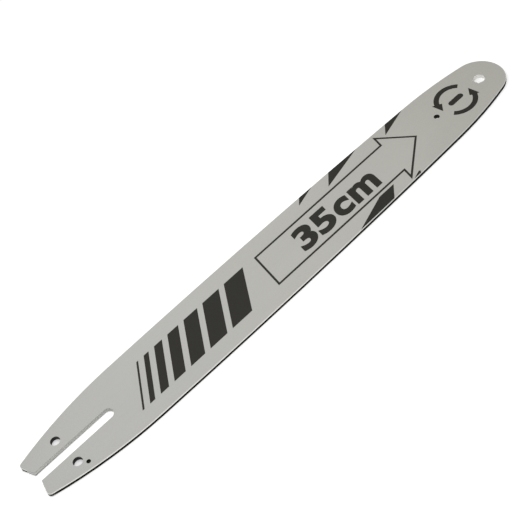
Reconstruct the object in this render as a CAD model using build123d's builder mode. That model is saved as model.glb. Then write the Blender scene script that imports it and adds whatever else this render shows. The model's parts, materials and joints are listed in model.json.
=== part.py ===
from build123d import *

import os
from math import copysign, sqrt

# Hard-nose guide bar for a small chainsaw: one steel plate, lying flat.
# X runs along the bar from the tail, which the saw clamps, to the nose. Y runs across the rails.
# Z is the thickness, and the bar rests on Z = 0. The origin is the middle of the resting face.

# Plate
overall_length = 410.0
bar_width = 54.1
thickness = 3.1
rim_chamfer = 0.2

# Rails: a long crowned arc, widest at the belly, that turns into a tighter arc at the tail
belly_from_tail = 165.0
rail_radius = 5700.0
tail_arc_length = 77.0
tail_radius = 300.0

# Nose: a full round that flank arcs lead into
nose_length = 66.0
nose_radius = 18.5

# Chain groove in the edge of the rails and the nose, flared where the chain enters at the tail
groove_width = 1.3
groove_depth = 6.0
flare_width = 1.9
flare_length = 9.0

# Tail: an open slot for the saw's studs, with a wide mouth that leaves a flat end on each prong
slot_width = 7.3
slot_length = 60.0
prong_flat = 2.7
mouth_depth = 3.0
prong_corner_radius = 2.5

# Chain tension adjuster holes, one in each prong
adjuster_diameter = 6.2
adjuster_from_tail = 24.4
adjuster_spacing = 22.0

# Oil holes, one from each face into the groove of opposite rails, so that the bar can be turned over
oil_diameter = 2.8
oil_from_tail = 28.5
oil_from_rail = 5.5

# Nose guard hole, with two locating notches on the side towards the tail, and a plain hole behind it
guard_diameter = 8.0
guard_from_tip = 17.7
notch_reach = 4.8
notch_size = 1.7
notch_angle = 37.0
pilot_diameter = 4.0
pilot_from_tip = 61.1

tail_x = -overall_length / 2
tip_x = overall_length / 2
belly_x = tail_x + belly_from_tail
# The blank runs on behind the tail, so that the groove leaves through the prongs' ends
blank_x = tail_x - 2 * groove_depth


def on_arc(centre, radius, x):
    """Point at x on the rail side of a circle, which is hollow if its radius is negative."""
    return Vector(x, centre.Y + copysign(sqrt(radius**2 - (x - centre.X) ** 2), radius))


def inward(centre, radius, point):
    """Unit vector from a point of the upper rail into the plate."""
    return (centre - point) / radius


rail_centre = Vector(belly_x, bar_width / 2 - rail_radius)
nose_start = on_arc(rail_centre, rail_radius, tip_x - nose_length)
tail_start = on_arc(rail_centre, rail_radius, tail_x + tail_arc_length)

# Tail arc: touches the rail where the tail starts
tail_centre = tail_start + inward(rail_centre, rail_radius, tail_start) * tail_radius
blank_end = on_arc(tail_centre, tail_radius, blank_x)

# Flank arc: touches the rail where the nose starts, and the round of the nose
nose_centre = Vector(tip_x - nose_radius, 0)
flank_normal = inward(rail_centre, rail_radius, nose_start)
to_nose = nose_centre - nose_start
flank_radius = (to_nose.length**2 - nose_radius**2) / (2 * (to_nose.dot(flank_normal) - nose_radius))
flank_centre = nose_start + flank_normal * flank_radius
nose_touch = nose_centre + (nose_centre - flank_centre) * (nose_radius / (flank_radius - nose_radius))

with BuildSketch() as blank:
    with BuildLine() as blank_edge:
        ThreePointArc(blank_end, on_arc(tail_centre, tail_radius, tail_x), tail_start)
        ThreePointArc(tail_start, (belly_x, bar_width / 2), nose_start)
        flank_middle_x = (nose_start.X + nose_touch.X) / 2
        ThreePointArc(nose_start, on_arc(flank_centre, flank_radius, flank_middle_x), nose_touch)
        mirror(about=Plane.XZ)
        ThreePointArc(nose_touch, (tip_x, 0), (nose_touch.X, -nose_touch.Y))
        Line(blank_end, (blank_end.X, -blank_end.Y))
    make_face()

groove_plane = Plane.XY.offset((thickness - groove_width) / 2)
rail_at_oil = on_arc(tail_centre, tail_radius, tail_x + oil_from_tail)
oil_x = rail_at_oil.X
oil_y = rail_at_oil.Y - oil_from_rail
rail_at_tail = on_arc(tail_centre, tail_radius, tail_x).Y
notch_offset = notch_reach - notch_size / 2

with BuildPart() as guide_bar:
    # Plate with its tail end, mouth and stud slot
    with BuildSketch() as plate:
        add(blank.sketch)
        with Locations((tail_x, 0)):
            Rectangle(
                2 * (tail_x - blank_x),
                2 * bar_width,
                align=(Align.MAX, Align.CENTER),
                mode=Mode.SUBTRACT,
            )
            SlotOverall(2 * slot_length, slot_width, mode=Mode.SUBTRACT)
        Polygon(
            (tail_x, rail_at_tail - prong_flat),
            (tail_x, prong_flat - rail_at_tail),
            (tail_x + mouth_depth, -slot_width / 2),
            (tail_x + mouth_depth, slot_width / 2),
            align=None,
            mode=Mode.SUBTRACT,
        )
        prong_ends = plate.vertices().group_by(Axis.X)[0].sort_by(Axis.Y)
        fillet([prong_ends[0], prong_ends[-1]], prong_corner_radius)
    extrude(amount=thickness)
    chamfer(guide_bar.faces().filter_by(Axis.Z).edges(), rim_chamfer)

    # Chain groove, as the strip between the blank's edge and the groove's floor
    with BuildSketch(groove_plane):
        add(blank.sketch)
        offset(amount=-groove_depth, mode=Mode.SUBTRACT)
    extrude(amount=groove_width, mode=Mode.SUBTRACT)

    # Flared groove entries, tapering from the prongs' ends to the groove's width
    for side in (1, -1):
        with BuildSketch(Plane.XZ.offset(-side * (rail_at_tail - groove_depth))):
            Polygon(
                (tail_x, (thickness + flare_width) / 2),
                (tail_x, (thickness - flare_width) / 2),
                (tail_x + flare_length, (thickness - groove_width) / 2),
                (tail_x + flare_length, (thickness + groove_width) / 2),
                align=None,
            )
        extrude(amount=-side * 2 * groove_depth, mode=Mode.SUBTRACT)

    # Chain tension adjuster holes
    with Locations((tail_x + adjuster_from_tail, 0, thickness)):
        with GridLocations(0, adjuster_spacing, 1, 2):
            Hole(adjuster_diameter / 2)

    # Oil holes, from the upper face on one rail and from the lower face on the other
    with Locations(Plane((oil_x, -oil_y, thickness)), Plane((oil_x, oil_y, 0), z_dir=(0, 0, -1))):
        Hole(oil_diameter / 2, depth=thickness / 2)

    # Nose guard hole with its notches, and the pilot hole
    with BuildSketch():
        with Locations((tip_x - guard_from_tip, 0)):
            Circle(guard_diameter / 2)
            with PolarLocations(notch_offset, 2, 180 - notch_angle, 2 * notch_angle, endpoint=True):
                RegularPolygon(notch_size / 2, 4)
    extrude(amount=thickness, mode=Mode.SUBTRACT)
    with Locations((tip_x - pilot_from_tip, 0, thickness)):
        Hole(pilot_diameter / 2)

guide_bar.part.label = "guide_bar"
os.makedirs("parts", exist_ok=True)
export_step(guide_bar.part, "parts/guide_bar.step")
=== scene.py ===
import json
from math import cos, pi, radians, sin, tan

import bmesh
import bpy
from bpy.props import FloatProperty, FloatVectorProperty, IntProperty, PointerProperty, StringProperty
from mathutils import Matrix, Vector
from mathutils.bvhtree import BVHTree


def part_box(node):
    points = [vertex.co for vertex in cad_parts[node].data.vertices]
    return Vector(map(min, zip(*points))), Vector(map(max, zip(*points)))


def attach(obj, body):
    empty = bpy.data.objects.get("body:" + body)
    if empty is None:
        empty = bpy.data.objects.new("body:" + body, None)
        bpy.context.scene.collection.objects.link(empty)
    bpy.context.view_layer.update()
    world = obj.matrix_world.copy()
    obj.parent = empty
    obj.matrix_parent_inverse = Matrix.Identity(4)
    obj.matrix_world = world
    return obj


bl_info = {
    "name": "Chainsaw guide bar",
    "version": (1, 0, 0),
    "blender": (4, 5, 0),
    "location": "View3D > Sidebar > Guide bar",
    "description": "Finishes and prints a grooved steel guide bar and sets it on a pale stage",
    "category": "Object",
}

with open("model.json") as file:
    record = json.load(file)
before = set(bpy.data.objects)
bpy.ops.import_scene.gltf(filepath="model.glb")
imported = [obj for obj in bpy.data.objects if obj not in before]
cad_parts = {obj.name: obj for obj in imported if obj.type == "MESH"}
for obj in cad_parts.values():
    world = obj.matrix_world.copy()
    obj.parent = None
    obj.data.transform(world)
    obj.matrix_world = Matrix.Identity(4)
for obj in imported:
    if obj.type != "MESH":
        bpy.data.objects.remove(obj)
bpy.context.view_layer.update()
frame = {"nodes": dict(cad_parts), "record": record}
BAR = frame["nodes"]["guide_bar"]
BODY = "root"
LOW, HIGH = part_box("guide_bar")
TOP = HIGH.z
MIDDLE = TOP / 2
TAIL = LOW.x
BORES = [mount for mount in frame["record"]["mounts"] if mount["kind"] == "bore"]
STUD_SLOT = frame["record"]["physics"]["openings"][0]["box_m"]
PLATE = BVHTree.FromPolygons([v.co for v in BAR.data.vertices], [p.vertices for p in BAR.data.polygons])

# Grains per metre of the paint's texture, which also shows through the ink
GRAIN = (2600, 2600, 2600)
PEEL = (700, 700, 700)

# How far the mask of an opening reaches past its wall, and the softness of the mask's edge
REACH = 0.0008
BLUR = 0.0002


def length(name, description, default):
    """A property in metres."""
    return FloatProperty(name=name, description=description, default=default, unit="LENGTH")


def angle(name, description, degrees):
    """A property for an angle."""
    return FloatProperty(name=name, description=description, default=radians(degrees), subtype="ANGLE")


def share(name, description, default):
    """A property from 0 to 1."""
    return FloatProperty(name=name, description=description, default=default, min=0, max=1, subtype="FACTOR")


def colour(name, description, default):
    """A property for a colour."""
    return FloatVectorProperty(name=name, description=description, default=default, subtype="COLOR")


def position(name, description, default):
    """A property for a place in metres."""
    return FloatVectorProperty(name=name, description=description, default=default, subtype="TRANSLATION")


class BarFinish(bpy.types.PropertyGroup):
    """Colours of the painted plate and its bare steel, and where they meet"""

    paint: colour("Paint", "Satin grey on both faces", (0.424, 0.422, 0.400))
    nose_paint: colour("Nose paint", "Warmer grey towards the nose", (0.427, 0.418, 0.380))
    warm_place: length("Warm place", "Where the paint is half as warm as at the nose", 0.03)
    warm_fade: length("Warm fade", "Length over which the paint gets warmer", 0.26)
    steel: colour("Rail steel", "Ground edge of the rails", (0.70, 0.69, 0.66))
    # Painted shade: the rails' walls are painted darker towards the nose, in place of the darker reflection
    # there
    rail_shade_place: length("Nose heat", "Where the rails are half as dark as at the hardened nose", 0.08)
    rail_shade_fade: length("Heat fade", "Length over which the rails darken", 0.20)
    # Also the colour of the painted shade under the groove and on the adjuster holes' walls
    oil: colour("Groove", "Oiled steel inside the chain groove", (0.006, 0.006, 0.005))
    groove: length("Groove width", "Width of the chain groove", 0.0013)
    flare: length("Groove entry", "Width of the groove at the prongs' ends", 0.0019)
    flare_length: length("Entry length", "Length of the tapered groove entry", 0.009)
    clean_entry: length("Clean entry", "How far from the tail the groove is free of oil", 0.004)
    # Painted shade: the lower rail is painted dark in a strip under the groove
    lower_rail_shade: length("Groove lip", "Oily strip under the groove on the lower rail", 0.0004)
    bleed: length("Oil bleed", "How far oil spreads over the groove's upper edge", 0.00016)
    oil_edge: length("Oil edge", "Softness of the oil's edge", 0.00006)
    mouth: length("Mouth depth", "Depth of the mouth between the prongs", 0.003)
    prong_end: length("Prong end", "Half width of the tail that has no groove", 0.0086)
    oil_hole: length("Oil hole", "From the tail to the oil holes", 0.0285)
    oil_inset: length("Oil hole inset", "From the rail to the oil holes", 0.0055)
    oil_radius: length("Oil hole radius", "Radius of the oil holes", 0.0014)
    # Painted light on the slot's wall, strongest near the tail, and painted shade at the wall's foot
    slot_pale: length("Slot pale", "From the tail to where the slot's wall is half as pale as there", 0.018)
    pale_fade: length("Pale fade", "Length over which the slot's wall gets less pale", 0.03)
    foot: length("Slot foot", "Height of the dark foot of the slot's wall near the tail", 0.0012)
    foot_fade: length("Foot fade", "Softness of that foot's edge", 0.0008)


class BarPrint(bpy.types.PropertyGroup):
    """Sizes and colour of what is printed on the upper face"""

    ink: colour("Ink", "Charcoal printing ink", (0.025, 0.0243, 0.0205))
    film: length("Film", "Thickness of the ink", 0.00004)
    axis: length("Print axis", "Middle of the print across the bar", -0.0005)
    margin: length("Margin", "Bare strip between the print and the rail's edge", 0.0002)
    slant: angle("Slant", "Forward lean of the lettering and the arrow's tail", 11.8)
    arrow_line: length("Arrow line", "Width of the arrow's line", 0.0014)
    arrow_tail: length("Arrow tail", "Place of the arrow's tail", -0.0167)
    arrow_neck: length("Arrow neck", "Place where the head starts", 0.0995)
    arrow_point: length("Arrow point", "Place of the arrow's point", 0.1224)
    shaft_width: length("Shaft width", "Width of the arrow's shaft", 0.0277)
    head_width: length("Head width", "Width of the arrow's head", 0.0438)
    head_slant: angle("Head slant", "Forward lean of the head's barbs", 15.9)
    size_text: StringProperty(name="Size", description="Nominal cutting length", default="35")
    size_start: length("Size start", "Left end of the figures", 0.0084)
    size_length: length("Size length", "Length of the figures", 0.0312)
    size_height: length("Size height", "Height of the figures", 0.0181)
    unit_text: StringProperty(name="Unit", description="Unit of the cutting length", default="cm")
    unit_start: length("Unit start", "Left end of the unit", 0.0415)
    unit_length: length("Unit length", "Length of the unit", 0.0378)
    unit_height: length("Unit height", "Height of the unit", 0.0134)
    size_base: length("Baseline", "Baseline of the size mark", -0.0093)
    bar_count: IntProperty(name="Trail bars", description="Number of bars behind the arrow", default=7)
    bar_start: length("Trail start", "Right end of the widest bar", -0.034)
    bar_widest: length("Widest bar", "Width of the first bar", 0.0165)
    bar_step: length("Bar step", "How much each bar is narrower", 0.0025)
    bar_gap: length("Bar gap", "Gap between the bars", 0.0045)
    bar_height: length("Bar height", "Height of the bars", 0.030)
    bar_lean: angle("Bar lean", "Forward lean of the bars", 34)
    turn_place: length("Turn mark", "Place of the turn-over mark", 0.1633)
    turn_radius: length("Turn radius", "Outer radius of that mark", 0.0148)
    turn_line: length("Turn line", "Width of its arc arrows", 0.0036)


class BarStage(bpy.types.PropertyGroup):
    """Camera, light and floor"""

    target: position("Target", "Point that the camera looks at", (-0.01405, 0.00504, TOP))
    distance: length("Distance", "From the target to the camera", 0.77953)
    azimuth: angle("Azimuth", "Direction of view", -30.128)
    elevation: angle("Elevation", "Height of view", 47.457)
    roll: angle("Roll", "Turn of the picture", 18.825)
    lens: FloatProperty(name="Lens", description="Focal length in millimetres", default=85.84)
    sensor: FloatProperty(name="Sensor", description="Width of the sensor in millimetres", default=36.0)
    floor: length("Floor", "Side of the floor", 6.0)
    bounce: share("Bounce", "Share of its light that the floor sends to the bar", 0.8)
    shade: share("Shade", "How strongly the floor shows the bar's shadow", 0.55)
    glow: share("Glow", "Light that keeps the floor pale", 0.62)
    sky: share("Sky", "Strength of the even light", 0.25)
    key: FloatProperty(name="Key light", description="Power of the soft box", default=3.1, unit="POWER")
    key_size: length("Key size", "Diameter of the soft box", 0.6)
    key_place: position("Key place", "Middle of the soft box", (-0.07, 0.06, 0.55))


class Shade:
    """A value in a node tree. Arithmetic on it adds Math nodes."""

    def __init__(self, graph, socket):
        self.graph = graph
        self.socket = socket

    def math(self, operation, *values, clamp=False):
        settings = {"operation": operation, "use_clamp": clamp}
        return self.graph.value("ShaderNodeMath", settings, dict(enumerate(values)))

    def __add__(self, other):
        return self.math("ADD", self, other)

    __radd__ = __add__

    def __sub__(self, other):
        return self.math("SUBTRACT", self, other)

    def __rsub__(self, other):
        return self.math("SUBTRACT", other, self)

    def __mul__(self, other):
        return self.math("MULTIPLY", self, other)

    __rmul__ = __mul__

    def __truediv__(self, other):
        return self.math("DIVIDE", self, other)

    def __abs__(self):
        return self.math("ABSOLUTE", self)

    def most(self, other):
        return self.math("MAXIMUM", self, other)

    def root(self):
        return self.math("SQRT", self)

    def above(self, edge, blur):
        """1 where the value is over the edge, 0 where it is under it, with a soft step between."""
        return self.math("MULTIPLY_ADD", self - edge, 1 / blur, 0.5, clamp=True)

    def below(self, edge, blur):
        return 1 - self.above(edge, blur)


class Graph:
    """A node tree under construction."""

    def __init__(self, tree):
        self.tree = tree

    def node(self, kind, settings=None, inputs=None):
        """Adds a node, sets it, and gives its sockets their values or links."""
        made = self.tree.nodes.new(kind)
        for name, value in (settings or {}).items():
            setattr(made, name, value)
        for name, value in (inputs or {}).items():
            self.feed(made.inputs[name], value)
        return made

    def feed(self, socket, value):
        if isinstance(value, Shade):
            value = value.socket
        if isinstance(value, bpy.types.NodeSocket):
            self.tree.links.new(value, socket)
        else:
            socket.default_value = value

    def value(self, kind, settings=None, inputs=None):
        """The first output of a new node."""
        return Shade(self, self.node(kind, settings, inputs).outputs[0])

    def parts(self, vector):
        """The three numbers of a vector."""
        split = self.node("ShaderNodeSeparateXYZ", inputs={0: vector})
        return [Shade(self, socket) for socket in split.outputs]

    def vector(self, x, y, z):
        return self.node("ShaderNodeCombineXYZ", inputs={0: x, 1: y, 2: z}).outputs[0]

    def noise(self, place, stretch, detail=2.0):
        """Noise from 0 to 1 with so many grains per metre along each axis."""
        scaled = self.node("ShaderNodeMapping", inputs={"Vector": place, "Scale": stretch}).outputs[0]
        return self.value("ShaderNodeTexNoise", inputs={"Vector": scaled, "Scale": 1.0, "Detail": detail})

    def blend(self, mask, first, second):
        """The first colour where the mask is 0 and the second where it is 1."""
        mixed = self.node("ShaderNodeMix", {"data_type": "RGBA"}, {0: mask, 6: first, 7: second})
        return mixed.outputs[2]

    def tint(self, base, factor):
        """A colour made lighter or darker by a value."""
        scaled = self.node("ShaderNodeVectorMath", {"operation": "SCALE"}, {0: base, "Scale": factor})
        return scaled.outputs[0]

    def surface(self, relief, strength, depth, inputs):
        """A Principled shader whose normal follows a relief, as the material's output."""
        bump = self.node("ShaderNodeBump", inputs={"Strength": strength, "Distance": depth, "Height": relief})
        self.output(self.node("ShaderNodeBsdfPrincipled", inputs={**inputs, "Normal": bump.outputs[0]}))

    def output(self, shader):
        self.node("ShaderNodeOutputMaterial", inputs={"Surface": shader.outputs[0]})


def new_material(name):
    """An empty material and the graph that fills it."""
    material = bpy.data.materials.new(name)
    material.use_nodes = True
    material.node_tree.nodes.clear()
    return material, Graph(material.node_tree)


def rail_reach(x):
    """Half width of the plate at x, measured on the frame below the rim's chamfer."""
    below_rim = 0.0004
    hit = PLATE.ray_cast(Vector((x, 2 * HIGH.y, TOP - below_rim)), Vector((0, -1, 0)))[0]
    if hit is None:
        raise RuntimeError(f"no rail at x = {x:.4f}")
    return hit.y


def in_hole(x, y, place, radius):
    """1 within a radius of a round hole's middle."""
    along = x - place[0]
    across = y - place[1]
    return (along * along + across * across).root().below(radius, BLUR)


def dark_side(x, y, place, radius):
    """1 on the side of a round hole that is in the shade."""
    dark_way = (-0.61, 0.79)
    towards = (y - place[1]) * dark_way[1] + (x - place[0]) * dark_way[0]
    return towards.above(radius * 0.1, radius)


def opening_masks(x, y, finish):
    """Masks of the walls of the stud slot, of the guard hole and of the other holes, and of their dark walls:
    darkened all round in the oil and pilot holes, and painted shade on one side of each adjuster hole.
    """
    high = STUD_SLOT[1]
    in_slot = abs(y).below(high[1] + REACH, BLUR) * x.below(high[0] + 2 * high[1], BLUR)
    in_mouth = abs(y).below(finish.prong_end, BLUR) * x.below(TAIL + finish.mouth + REACH, BLUR)
    oil_x = TAIL + finish.oil_hole
    oil_y = rail_reach(oil_x) - finish.oil_inset
    holes = soot_and_shade = in_hole(x, abs(y), (oil_x, oil_y), finish.oil_radius + REACH / 2)
    for bore in BORES:
        place = bore["pos_m"]
        radius = bore["dims"]["r_mm"] / 1000 + REACH
        inside = in_hole(x, y, place, radius)
        if bore["name"] == "guard_hole":
            bright = inside
            continue
        holes = holes.most(inside)
        # Painted shade: an adjuster hole's wall is dark only on its shaded side
        if "adjuster" in bore["name"]:
            inside = inside * dark_side(x, y, place, radius)
        soot_and_shade = soot_and_shade.most(inside)
    return in_slot.most(in_mouth), bright, holes, soot_and_shade


def groove_oil_and_shade(x, z, finish):
    """1 where there is oil, in the groove and over its upper edge, and on a strip of painted shade under the
    groove on the lower rail, but not at the ends of the prongs.
    """
    flaring = ((TAIL + finish.flare_length - x) / finish.flare_length).most(0.0)
    half_groove = flaring * ((finish.flare - finish.groove) / 2) + finish.groove / 2
    # Painted shade: a dark strip under the groove on the lower rail, narrowing to none where the entry flares
    lower_rail_shade = (1 - flaring) * finish.lower_rail_shade
    height = z - MIDDLE
    upper = (height - half_groove).below(finish.bleed, finish.oil_edge)
    lower = (height + half_groove + lower_rail_shade).above(0, finish.oil_edge)
    clean = x.below(TAIL + finish.clean_entry, finish.clean_entry)
    return upper * lower * (1 - clean * 0.8)


def slot_painted_light(x, z, finish):
    """Painted light and shade on the slot's wall: how much paler it is painted than the faces, most near the
    tail, with painted shade at its dark foot.
    """
    near_tail = x.below(TAIL + finish.slot_pale, finish.pale_fade)
    foot = near_tail * z.below(finish.foot, finish.foot_fade)
    return 0.5 + near_tail * 0.38 - foot * 0.9


def bar_finish(finish):
    """Satin paint on the faces, ground steel on the rails, and oily dark steel in the groove, with painted
    light and shade on the slot's wall and painted shade on the rails and in the adjuster holes.
    """
    material, graph = new_material("bar_finish")
    place = graph.node("ShaderNodeTexCoord").outputs["Object"]
    x, y, z = graph.parts(place)
    facing = graph.parts(graph.node("ShaderNodeNewGeometry").outputs["True Normal"])
    flat = abs(facing[2])
    steep, sloped, soft = 0.5, 0.85, 0.1
    wall = flat.below(steep, soft)
    rim = flat.below(sloped, soft)

    slot, bright, holes, soot_and_shade = opening_masks(x, y, finish)
    rails = 1 - slot.most(holes).most(bright)
    # Oil in the groove, dark walls in the oil and pilot holes, and painted shade under the groove and in the
    # adjuster holes
    oil_and_shade = (groove_oil_and_shade(x, z, finish) * (1 - slot.most(bright))).most(soot_and_shade * wall)
    bare = (rim * rails).most(wall * bright) * (1 - oil_and_shade)

    grain = graph.noise(place, GRAIN, 3.0)
    cloud = graph.noise(place, (14, 30, 30), 3.0)
    rolled = graph.noise(place, (60, 5200, 900))
    lay = graph.noise(place, (240, 240, 14000), 3.0)
    peel = graph.noise(place, PEEL) + grain * 0.4 + rolled * 0.5

    towards_nose = x.above(finish.warm_place, finish.warm_fade)
    warm = graph.blend(towards_nose, (*finish.paint, 1), (*finish.nose_paint, 1))
    uneven = 0.78 + grain * 0.26 + cloud * 0.10 + rolled * 0.08
    # The walls of the slot and the mouth are painted paler, as painted light, with painted shade at the foot
    # near the tail
    paint = graph.tint(warm, uneven * (1 + slot * wall * slot_painted_light(x, z, finish)))
    # Painted shade: the rails' walls darken towards the nose, in place of a darker reflection
    rail_shade = x.above(finish.rail_shade_place, finish.rail_shade_fade) * wall * (1 - bright)
    steel = graph.tint(finish.steel, (0.85 + lay * 0.3) * (1 - rail_shade * 0.9))
    oil = graph.tint(finish.oil, 0.6 + cloud * 0.8)
    graph.surface(
        relief=peel * (1 - bare) + lay * bare * 1.5,
        strength=0.6,
        depth=0.00006,
        inputs={
            "Base Color": graph.blend(oil_and_shade, graph.blend(bare, paint, steel), oil),
            "Roughness": 0.48 + grain * 0.06 + cloud * 0.04 - bare * (0.24 - lay * 0.12) + oil_and_shade * 0.1,
            "Metallic": bare * 0.95,
            "Specular IOR Level": 0.35,
        },
    )
    return material


def ink_finish(base):
    """Screen-printed ink, a little uneven, with the paint's texture showing through."""
    material, graph = new_material("print_ink")
    place = graph.node("ShaderNodeTexCoord").outputs["Object"]
    grain = graph.noise(place, GRAIN, 3.0)
    cloud = graph.noise(place, (90, 90, 90), 3.0)
    peel = graph.noise(place, PEEL)
    graph.surface(
        relief=peel + grain * 0.6,
        strength=0.25,
        depth=0.00002,
        inputs={
            "Base Color": graph.tint(base, 0.8 + grain * 0.2 + cloud * 0.2),
            "Roughness": 0.52 + grain * 0.1 + cloud * 0.08,
            "Specular IOR Level": 0.08,
        },
    )
    return material


def ink(look):
    """The print's material, made once."""
    return bpy.data.materials.get("print_ink") or ink_finish(look.ink)


def widened(loop, distance):
    """A closed outline moved outwards by a distance, with mitred corners. The outline runs clockwise."""
    moved = []
    for before, here, after in zip(loop[-1:] + loop[:-1], loop, loop[1:] + loop[:1]):
        normals = [Vector((-way.y, way.x)).normalized() for way in (here - before, after - here)]
        mitre = (normals[0] + normals[1]).normalized()
        moved.append(here + mitre * (distance / mitre.dot(normals[0])))
    return moved


def flat_curve(name, loops):
    """A filled flat curve, in which a loop inside another is a hole."""
    curve = bpy.data.curves.new(name, "CURVE")
    curve.dimensions = "2D"
    curve.fill_mode = "BOTH"
    for loop in loops:
        spline = curve.splines.new("POLY")
        spline.points.add(len(loop) - 1)
        for point, at in zip(spline.points, loop):
            point.co = (at[0], at[1], 0, 1)
        spline.use_cyclic_u = True
    return curve


def lay_film(name, curve, look, place=None):
    """Turns a flat curve or text into a closed film of ink on the upper face."""
    curve.extrude = look.film / 2
    holder = bpy.data.objects.new(name, curve)
    bpy.context.collection.objects.link(holder)
    depsgraph = bpy.context.evaluated_depsgraph_get()
    mesh = bpy.data.meshes.new_from_object(holder.evaluated_get(depsgraph))
    bpy.data.objects.remove(holder)
    bpy.data.curves.remove(curve)
    lift = Matrix.Translation((0, 0, TOP + look.film / 2))
    mesh.transform(lift @ place(mesh) if place else lift)
    welded = bmesh.new()
    welded.from_mesh(mesh)
    bmesh.ops.remove_doubles(welded, verts=welded.verts, dist=look.film / 10)
    bmesh.ops.recalc_face_normals(welded, faces=welded.faces)
    welded.to_mesh(mesh)
    welded.free()
    dress(name, mesh, look)


def dress(name, mesh, look):
    """Makes a printed piece that belongs to the bar."""
    mesh.name = name
    mesh.materials.clear()
    mesh.materials.append(ink(look))
    piece = bpy.data.objects.new(name, mesh)
    bpy.context.collection.objects.link(piece)
    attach(piece, BODY)


class GUIDEBAR_OT_finish(bpy.types.Operator):
    """Gives the plate its paint, bare rails and oily groove, with painted light and shade on some walls and
    rails
    """

    bl_idname = "guidebar.finish"
    bl_label = "Finish the bar"

    def execute(self, context):
        material = bar_finish(context.scene.guidebar_finish)
        if not BAR.material_slots:
            raise RuntimeError("the bar has no material slot")
        for slot in BAR.material_slots:
            slot.material = material
        return {"FINISHED"}


class GUIDEBAR_OT_arrow(bpy.types.Operator):
    """Prints the outlined arrow that points to the nose"""

    bl_idname = "guidebar.arrow"
    bl_label = "Print the arrow"

    def execute(self, context):
        look = context.scene.guidebar_print
        shaft = look.shaft_width / 2
        head = look.head_width / 2
        lean = tan(look.head_slant)
        tail_lean = tan(look.slant)
        upper = [
            (look.arrow_tail + shaft * tail_lean, shaft),
            (look.arrow_neck + shaft * lean, shaft),
            (look.arrow_neck + head * lean, head),
        ]
        lower = [
            (look.arrow_neck - head * lean, -head),
            (look.arrow_neck - shaft * lean, -shaft),
            (look.arrow_tail - shaft * tail_lean, -shaft),
        ]
        outline = [Vector((x, y + look.axis)) for x, y in upper + [(look.arrow_point, 0)] + lower]
        half = look.arrow_line / 2
        loops = [widened(outline, half), widened(outline, -half)]
        lay_film("arrow_print", flat_curve("arrow_print", loops), look)
        return {"FINISHED"}


class GUIDEBAR_OT_size_mark(bpy.types.Operator):
    """Prints the nominal cutting length inside the arrow"""

    bl_idname = "guidebar.size_mark"
    bl_label = "Print the size mark"

    weight = 0.040
    unit_spacing = 1.1

    def execute(self, context):
        look = context.scene.guidebar_print
        figures = self.bold(look.size_text)
        self.lay("size_print", figures, look, look.size_start, look.size_length, look.size_height)
        unit = self.bold(look.unit_text)
        unit.space_character = self.unit_spacing
        self.lay("unit_print", unit, look, look.unit_start, look.unit_length, look.unit_height)
        return {"FINISHED"}

    def bold(self, body):
        """A text with thickened strokes."""
        text = bpy.data.curves.new("bold_text", "FONT")
        text.body = body
        text.offset = self.weight
        text.resolution_u = 8
        return text

    def lay(self, name, text, look, start, span, height):
        """Prints a text, fitted to a length and a height and leaning forward, on the baseline."""

        def fit(mesh):
            left = min(v.co.x for v in mesh.vertices)
            right = max(v.co.x for v in mesh.vertices)
            top = max(v.co.y for v in mesh.vertices)
            scaled = Matrix.Diagonal((span / (right - left), height / top, 1, 1))
            leaned = Matrix.Identity(4)
            leaned[0][1] = tan(look.slant)
            moved = Matrix.Translation((start, look.size_base, 0))
            return moved @ leaned @ scaled @ Matrix.Translation((-left, 0, 0))

        lay_film(name, text, look, fit)


class GUIDEBAR_OT_flashes(bpy.types.Operator):
    """Prints the dark flashes that run in from the rails behind the arrow"""

    bl_idname = "guidebar.flashes"
    bl_label = "Print the flashes"

    # Where each upper flash leaves the rail, its length along the rail, and its depth
    upper = ((0.0388, 0.0113, 0.0050), (0.0659, 0.0262, 0.0090), (0.1196, 0.0166, 0.0073))
    lower_start = 0.0413
    lower_end = 0.0734
    lower_top = -0.0170
    lower_rise = radians(18.6)
    # Corners of the small wedge at the lower rail, under the arrow's head
    wedge = ((0.0930, -0.0251), (0.0998, -0.0228), (0.1007, -0.0234), (0.0996, -0.0251))

    def execute(self, context):
        look = context.scene.guidebar_print

        def edge(x):
            return rail_reach(x) - look.margin

        loops = []
        for start, span, depth in self.upper:
            apex = (start - depth, edge(start) - depth)
            loops.append([(start, edge(start)), (start + span, edge(start + span)), apex])
        first = -edge(self.lower_start)
        last = -edge(self.lower_end)
        loops.append([
            (self.lower_start, first),
            (self.lower_start + (self.lower_top - first) / tan(self.lower_rise), self.lower_top),
            (self.lower_end + self.lower_top - last, self.lower_top),
            (self.lower_end, last),
        ])
        loops.append(self.wedge)
        lay_film("flash_print", flat_curve("flash_print", loops), look)
        return {"FINISHED"}


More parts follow.
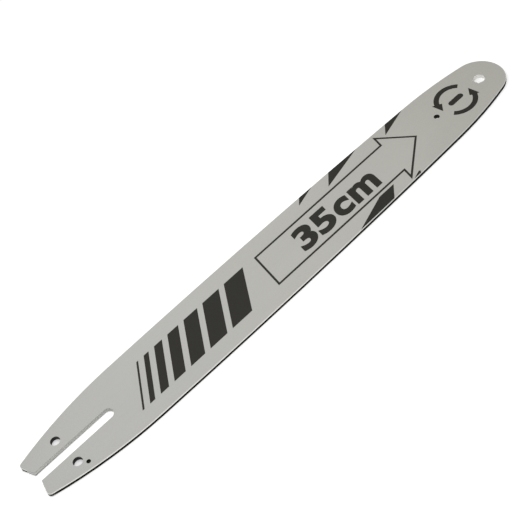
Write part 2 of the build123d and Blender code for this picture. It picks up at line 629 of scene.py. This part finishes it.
def trail_tree():
    """Geometry nodes for a row of leaning bars, each narrower than the one before."""
    tree = bpy.data.node_groups.new("trail_bars", "GeometryNodeTree")
    tree.interface.new_socket("Geometry", in_out="OUTPUT", socket_type="NodeSocketGeometry")
    kinds = {"Count": "NodeSocketInt", "Ink": "NodeSocketMaterial"}
    for name in ("Count", "Start", "Widest", "Step", "Gap", "Height", "Lean", "Axis", "Top", "Film", "Ink"):
        tree.interface.new_socket(name, in_out="INPUT", socket_type=kinds.get(name, "NodeSocketFloat"))
    graph = Graph(tree)
    sockets = graph.node("NodeGroupInput").outputs
    given = {socket.name: Shade(graph, socket) for socket in sockets if socket.name}
    index = graph.value("GeometryNodeInputIndex")

    width = given["Widest"] - index * given["Step"]
    passed = index * (given["Widest"] + given["Gap"]) - index * (index - 1) * given["Step"] * 0.5
    middle = given["Start"] - passed - width * 0.5
    points = graph.node("GeometryNodeMeshLine", inputs={"Count": given["Count"]})
    placed = graph.node(
        "GeometryNodeSetPosition",
        inputs={
            "Geometry": points.outputs[0],
            "Position": graph.vector(middle, given["Axis"], given["Top"] + given["Film"] * 0.5),
        },
    )
    block = graph.node("GeometryNodeMeshCube", inputs={"Size": (1, 1, 1)})
    bars = graph.node(
        "GeometryNodeInstanceOnPoints",
        inputs={
            "Points": placed.outputs[0],
            "Instance": block.outputs[0],
            "Scale": graph.vector(width, given["Height"], given["Film"]),
        },
    )
    real = graph.node("GeometryNodeRealizeInstances", inputs={"Geometry": bars.outputs[0]})
    y = graph.parts(graph.node("GeometryNodeInputPosition").outputs[0])[1]
    lean = graph.vector((y - given["Axis"]) * given["Lean"], 0.0, 0.0)
    leaned = graph.node("GeometryNodeSetPosition", inputs={"Geometry": real.outputs[0], "Offset": lean})
    inked = graph.node(
        "GeometryNodeSetMaterial", inputs={"Geometry": leaned.outputs[0], "Material": given["Ink"]}
    )
    graph.node("NodeGroupOutput", inputs={"Geometry": inked.outputs[0]})
    return tree


def grown(name, tree, values):
    """The plain mesh that a node tree makes from these values."""
    holder = bpy.data.objects.new(name, bpy.data.meshes.new(name))
    bpy.context.collection.objects.link(holder)
    modifier = holder.modifiers.new(name, "NODES")
    modifier.node_group = tree
    for socket in tree.interface.items_tree:
        if socket.in_out == "INPUT":
            modifier[socket.identifier] = values[socket.name]
    depsgraph = bpy.context.evaluated_depsgraph_get()
    mesh = bpy.data.meshes.new_from_object(holder.evaluated_get(depsgraph))
    holder.modifiers.remove(modifier)
    bpy.data.objects.remove(holder)
    return mesh


class GUIDEBAR_OT_trail(bpy.types.Operator):
    """Prints the leaning bars that trail behind the arrow"""

    bl_idname = "guidebar.trail"
    bl_label = "Print the trail"

    def execute(self, context):
        look = context.scene.guidebar_print
        values = {
            "Count": look.bar_count,
            "Start": look.bar_start,
            "Widest": look.bar_widest,
            "Step": look.bar_step,
            "Gap": look.bar_gap,
            "Height": look.bar_height,
            "Lean": tan(look.bar_lean),
            "Axis": look.axis,
            "Top": TOP,
            "Film": look.film,
            "Ink": ink(look),
        }
        dress("trail_print", grown("trail_print", trail_tree(), values), look)
        return {"FINISHED"}


class GUIDEBAR_OT_turn_mark(bpy.types.Operator):
    """Prints two arc arrows round a small bar, for a bar that can be turned over"""

    bl_idname = "guidebar.turn_mark"
    bl_label = "Print the turn-over mark"

    arc_start = radians(35)
    arc_sweep = radians(112)
    head_sweep = radians(34)
    head_growth = 1.9
    arc_steps = 20
    bar_length = 0.013
    bar_width = 0.0042
    round_steps = 12

    def execute(self, context):
        look = context.scene.guidebar_print
        centre = Vector((look.turn_place, 0))
        loops = [self.arc_arrow(centre, look, turn) for turn in (0, pi)]
        loops.append(self.small_bar(centre))
        lay_film("turn_print", flat_curve("turn_print", loops), look)
        return {"FINISHED"}

    def arc_arrow(self, centre, look, turn):
        """Outline of an arc with an arrow head, turned round the mark's centre."""
        outer = look.turn_radius
        inner = outer - look.turn_line
        middle = (outer + inner) / 2
        flare = look.turn_line / 2 * self.head_growth

        def at(radius, bearing):
            return centre + Vector((cos(bearing), sin(bearing))) * radius

        steps = range(self.arc_steps + 1)
        bearings = [self.arc_start + turn + self.arc_sweep * step / self.arc_steps for step in steps]
        end = bearings[-1]
        head = [at(middle - flare, end), at(middle, end + self.head_sweep), at(middle + flare, end)]
        return [at(inner, b) for b in bearings] + head + [at(outer, b) for b in reversed(bearings)]

    def small_bar(self, centre):
        """Outline of a short bar with round ends."""
        cap = self.bar_width / 2
        reach = self.bar_length / 2 - cap
        outline = []
        for side in (1, -1):
            for step in range(self.round_steps + 1):
                bearing = pi * step / self.round_steps - pi / 2
                outline.append(centre + side * Vector((reach + cap * cos(bearing), cap * sin(bearing))))
        return outline


class GUIDEBAR_OT_stage(bpy.types.Operator):
    """Adds the pale floor, the soft light and the camera"""

    bl_idname = "guidebar.stage"
    bl_label = "Set the stage"

    def execute(self, context):
        scene = context.scene
        stage = scene.guidebar_stage
        scene.view_settings.view_transform = "Standard"
        self.add_floor(context, stage)
        self.add_sky(scene, stage)
        self.add_key(context, stage)
        self.add_camera(context, stage)
        return {"FINISHED"}

    def seen(self, graph):
        """1 for rays that show the background itself: from the camera, in a reflection or through glass."""
        path = graph.node("ShaderNodeLightPath").outputs
        camera, glossy, through = [
            Shade(graph, path[name]) for name in ("Is Camera Ray", "Is Glossy Ray", "Is Transmission Ray")
        ]
        return camera.most(glossy).most(through)

    def glow_with_painted_shadow(self, graph):
        """Painted shadow on the floor's glow: 1 on the open floor and, under a bore, the share of the sky
        that the bore lets in.
        """
        x, y, _ = graph.parts(graph.node("ShaderNodeTexCoord").outputs["Object"])
        light = 1
        for bore in BORES:
            radius = bore["dims"]["r_mm"] / 1000
            hidden = TOP**2 / (TOP**2 + radius**2)
            light = light - in_hole(x, y, bore["pos_m"], radius + REACH) * hidden
        return light

    def add_floor(self, context, stage):
        half = stage.floor / 2
        mesh = bpy.data.meshes.new("floor")
        corners = [(-half, -half, 0), (half, -half, 0), (half, half, 0), (-half, half, 0)]
        mesh.from_pydata(corners, [], [(0, 1, 2, 3)])
        floor = bpy.data.objects.new("floor", mesh)
        context.collection.objects.link(floor)
        material, graph = new_material("floor_white")
        plain = graph.node("ShaderNodeBsdfDiffuse", inputs={"Color": (*[stage.bounce] * 3, 1)})
        shaded = graph.node("ShaderNodeBsdfDiffuse", inputs={"Color": (*[stage.shade] * 3, 1)})
        # Painted shadow: the floor's glow is dimmed under the bores
        pale = graph.tint((1, 1, 1), self.glow_with_painted_shadow(graph))
        glow = graph.node("ShaderNodeEmission", inputs={"Color": pale, "Strength": stage.glow})
        white = graph.node("ShaderNodeAddShader", inputs={0: shaded.outputs[0], 1: glow.outputs[0]})
        sides = {0: self.seen(graph), 1: plain.outputs[0], 2: white.outputs[0]}
        graph.output(graph.node("ShaderNodeMixShader", inputs=sides))
        mesh.materials.append(material)

    def add_sky(self, scene, stage):
        world = bpy.data.worlds.new("soft_sky")
        world.use_nodes = True
        world.node_tree.nodes.clear()
        graph = Graph(world.node_tree)
        strength = stage.sky + self.seen(graph) * (1 - stage.sky)
        sky = graph.node("ShaderNodeBackground", inputs={"Color": (1, 1, 1, 1), "Strength": strength})
        graph.node("ShaderNodeOutputWorld", inputs={"Surface": sky.outputs[0]})
        scene.world = world

    def add_key(self, context, stage):
        light = bpy.data.lights.new("soft_box", "AREA")
        light.shape = "DISK"
        light.size = stage.key_size
        light.energy = stage.key
        key = bpy.data.objects.new("soft_box", light)
        key.location = stage.key_place
        key.rotation_mode = "QUATERNION"
        key.rotation_quaternion = (Vector(stage.target) - key.location).to_track_quat("-Z", "Y")
        context.collection.objects.link(key)

    def add_camera(self, context, stage):
        lens = bpy.data.cameras.new("camera")
        lens.lens = stage.lens
        lens.sensor_width = stage.sensor
        camera = bpy.data.objects.new("camera", lens)
        level = cos(stage.elevation)
        back = Vector((sin(stage.azimuth) * level, -cos(stage.azimuth) * level, sin(stage.elevation)))
        camera.location = Vector(stage.target) + back * stage.distance
        aim = (-back).to_track_quat("-Z", "Y").to_matrix().to_4x4()
        camera.rotation_mode = "QUATERNION"
        camera.rotation_quaternion = (aim @ Matrix.Rotation(-stage.roll, 4, "Z")).to_quaternion()
        context.collection.objects.link(camera)
        context.scene.camera = camera


STEPS = (
    GUIDEBAR_OT_finish,
    GUIDEBAR_OT_arrow,
    GUIDEBAR_OT_size_mark,
    GUIDEBAR_OT_flashes,
    GUIDEBAR_OT_trail,
    GUIDEBAR_OT_turn_mark,
    GUIDEBAR_OT_stage,
)


class GUIDEBAR_PT_panel(bpy.types.Panel):
    """Lists the steps and the sizes of the guide bar"""

    bl_idname = "GUIDEBAR_PT_panel"
    bl_label = "Guide bar"
    bl_space_type = "VIEW_3D"
    bl_region_type = "UI"
    bl_category = "Guide bar"

    def draw(self, context):
        for step in STEPS:
            self.layout.operator(step.bl_idname)
        scene = context.scene
        for group in (scene.guidebar_finish, scene.guidebar_print, scene.guidebar_stage):
            box = self.layout.box()
            for name in group.__annotations__:
                box.prop(group, name)


CLASSES = (BarFinish, BarPrint, BarStage, *STEPS, GUIDEBAR_PT_panel)


def register():
    for each in CLASSES:
        bpy.utils.register_class(each)
    bpy.types.Scene.guidebar_finish = PointerProperty(type=BarFinish)
    bpy.types.Scene.guidebar_print = PointerProperty(type=BarPrint)
    bpy.types.Scene.guidebar_stage = PointerProperty(type=BarStage)


def unregister():
    del bpy.types.Scene.guidebar_stage
    del bpy.types.Scene.guidebar_print
    del bpy.types.Scene.guidebar_finish
    for each in reversed(CLASSES):
        bpy.utils.unregister_class(each)


def main():
    register()
    bpy.ops.guidebar.finish()
    bpy.ops.guidebar.arrow()
    bpy.ops.guidebar.size_mark()
    bpy.ops.guidebar.flashes()
    bpy.ops.guidebar.trail()
    bpy.ops.guidebar.turn_mark()
    bpy.ops.guidebar.stage()


if __name__ == "__main__":
    main()
